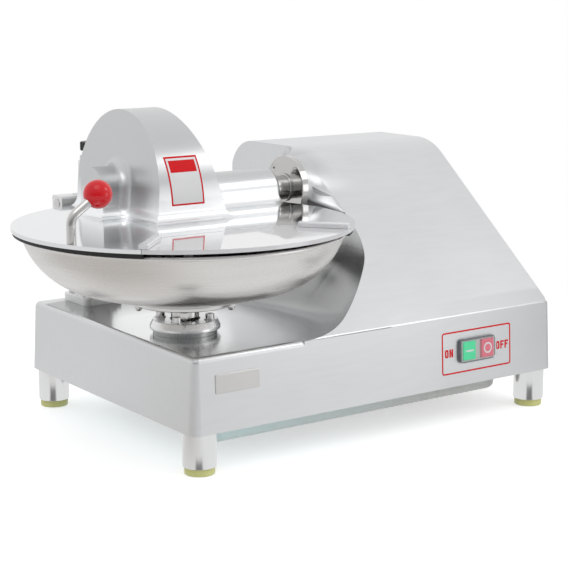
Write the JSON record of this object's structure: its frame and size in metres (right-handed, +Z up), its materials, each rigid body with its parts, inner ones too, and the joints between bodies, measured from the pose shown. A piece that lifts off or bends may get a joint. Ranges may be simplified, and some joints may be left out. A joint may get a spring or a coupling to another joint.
{
  "type": "bowl cutter",
  "caption": "Table-top bowl cutter: slow stainless bowl, fast sickle knives under a hinged cast lid with clear flap, sloped cast housing on tall feet.",
  "frame": {"origin": "on the table, under the middle of the front left foot", "axes": "+X to the operator's right, +Y to the back, +Z up"},
  "size_m": [0.7352, 0.5213, 0.425],
  "materials": {
    "cast_aluminium": "cast and polished",
    "stainless": "brushed",
    "steel": "machined",
    "clear_acrylic": "clear, polished",
    "black_rubber": "matte",
    "foot_rubber": "translucent, matte",
    "red_plastic": "glossy",
    "green_plastic": "glossy",
    "black_plastic": "matte",
    "bronze": "machined",
    "motor_paint": "satin",
    "polished_aluminium": "polished",
    "pan_plastic": "satin"
  },
  "bodies": {
    "base": {"base_casting": "cast_aluminium", "bottom_pan": "pan_plastic", "pan_screws": "steel", "foot_legs": "polished_aluminium", "foot_pads": "foot_rubber", "foot_screws": "steel", "motor_body": "motor_paint", "motor_clamps": "cast_aluminium", "clamp_bolts": "steel", "drive_belt": "black_rubber", "gearbox_case": "cast_aluminium", "spindle_bearings": "steel", "worm_bearings": "steel", "deck_flange": "cast_aluminium", "spindle_seal": "black_rubber", "deck_flange_bolts": "steel", "bearing_housing": "stainless", "knife_bearings": "steel", "shaft_seal": "steel", "flange_screws": "steel", "hinge_post": "cast_aluminium", "hinge_post_bolts": "steel", "hinge_pin": "steel", "switch_bezel": "black_plastic", "switch_hood": "clear_acrylic", "switch_body": "black_plastic", "cable_gland": "black_plastic"},
    "drive_rotor": {"motor_shaft": "steel", "motor_pulley": "steel", "shaft_coupling": "steel", "worm": "steel"},
    "knife_set": {"knife_shaft": "stainless", "knife_pulley": "steel", "knife_inner": "stainless", "knife_outer": "stainless", "knife_spacers": "stainless", "knife_nut": "stainless"},
    "bowl_set": {"bowl_spindle": "stainless", "worm_wheel": "bronze", "drive_plate": "stainless", "bowl_hub": "cast_aluminium", "bowl": "stainless", "bowl_nut": "stainless", "acorn_screws": "stainless"},
    "lid": {"lid_casting": "cast_aluminium", "lid_gasket": "black_rubber", "flap_pins": "steel", "handle_rod": "stainless", "handle_ball": "red_plastic", "hinge_arm": "cast_aluminium"},
    "flap": {"flap_plate": "clear_acrylic", "flap_strips": "clear_acrylic"},
    "knob": {"lock_knob": "black_plastic", "lock_stud": "steel"},
    "start_button": {"on_button": "green_plastic"},
    "stop_button": {"off_button": "red_plastic"}
  },
  "joints": [
    {"name": "motor_spin", "type": "hinge", "parent": "base", "child": "drive_rotor", "pos_m": [0.2745, 0.172, 0.097], "axis": [1, 0, 0], "continuous": true},
    {"name": "knife_spin", "type": "hinge", "parent": "base", "child": "knife_set", "pos_m": [0.2745, 0.2195, 0.3045], "axis": [1, 0, 0], "continuous": true},
    {"name": "bowl_spin", "type": "hinge", "parent": "base", "child": "bowl_set", "pos_m": [0.0518, 0.1135, 0.2], "axis": [0, 0, 1], "continuous": true},
    {"name": "lid_hinge", "type": "hinge", "parent": "base", "child": "lid", "pos_m": [0.0518, 0.355, 0.289], "axis": [-1, 0, 0], "range_deg": [0, 95]},
    {"name": "flap_hinge", "type": "hinge", "parent": "lid", "child": "flap", "pos_m": [0.0518, 0.019, 0.2875], "axis": [-1, 0, 0], "range_deg": [0, 85]},
    {"name": "knob_turn", "type": "hinge", "parent": "lid", "child": "knob", "pos_m": [0.0518, 0.3525, 0.365], "axis": [0, 0, 1], "range_deg": [0, 1080]},
    {"name": "on_press", "type": "slide", "parent": "base", "child": "start_button", "axis": [0, 0.9987, -0.0506], "range_m": [0, 0.0025], "stiffness_N_per_m": 600},
    {"name": "off_press", "type": "slide", "parent": "base", "child": "stop_button", "axis": [0, 0.9987, -0.0506], "range_m": [0, 0.0025], "stiffness_N_per_m": 600}
  ],
  "couplings": [
    {"joint": "knife_spin", "follows": "motor_spin", "ratio": 1},
    {"joint": "bowl_spin", "follows": "motor_spin", "ratio": 0.016667}
  ]
}
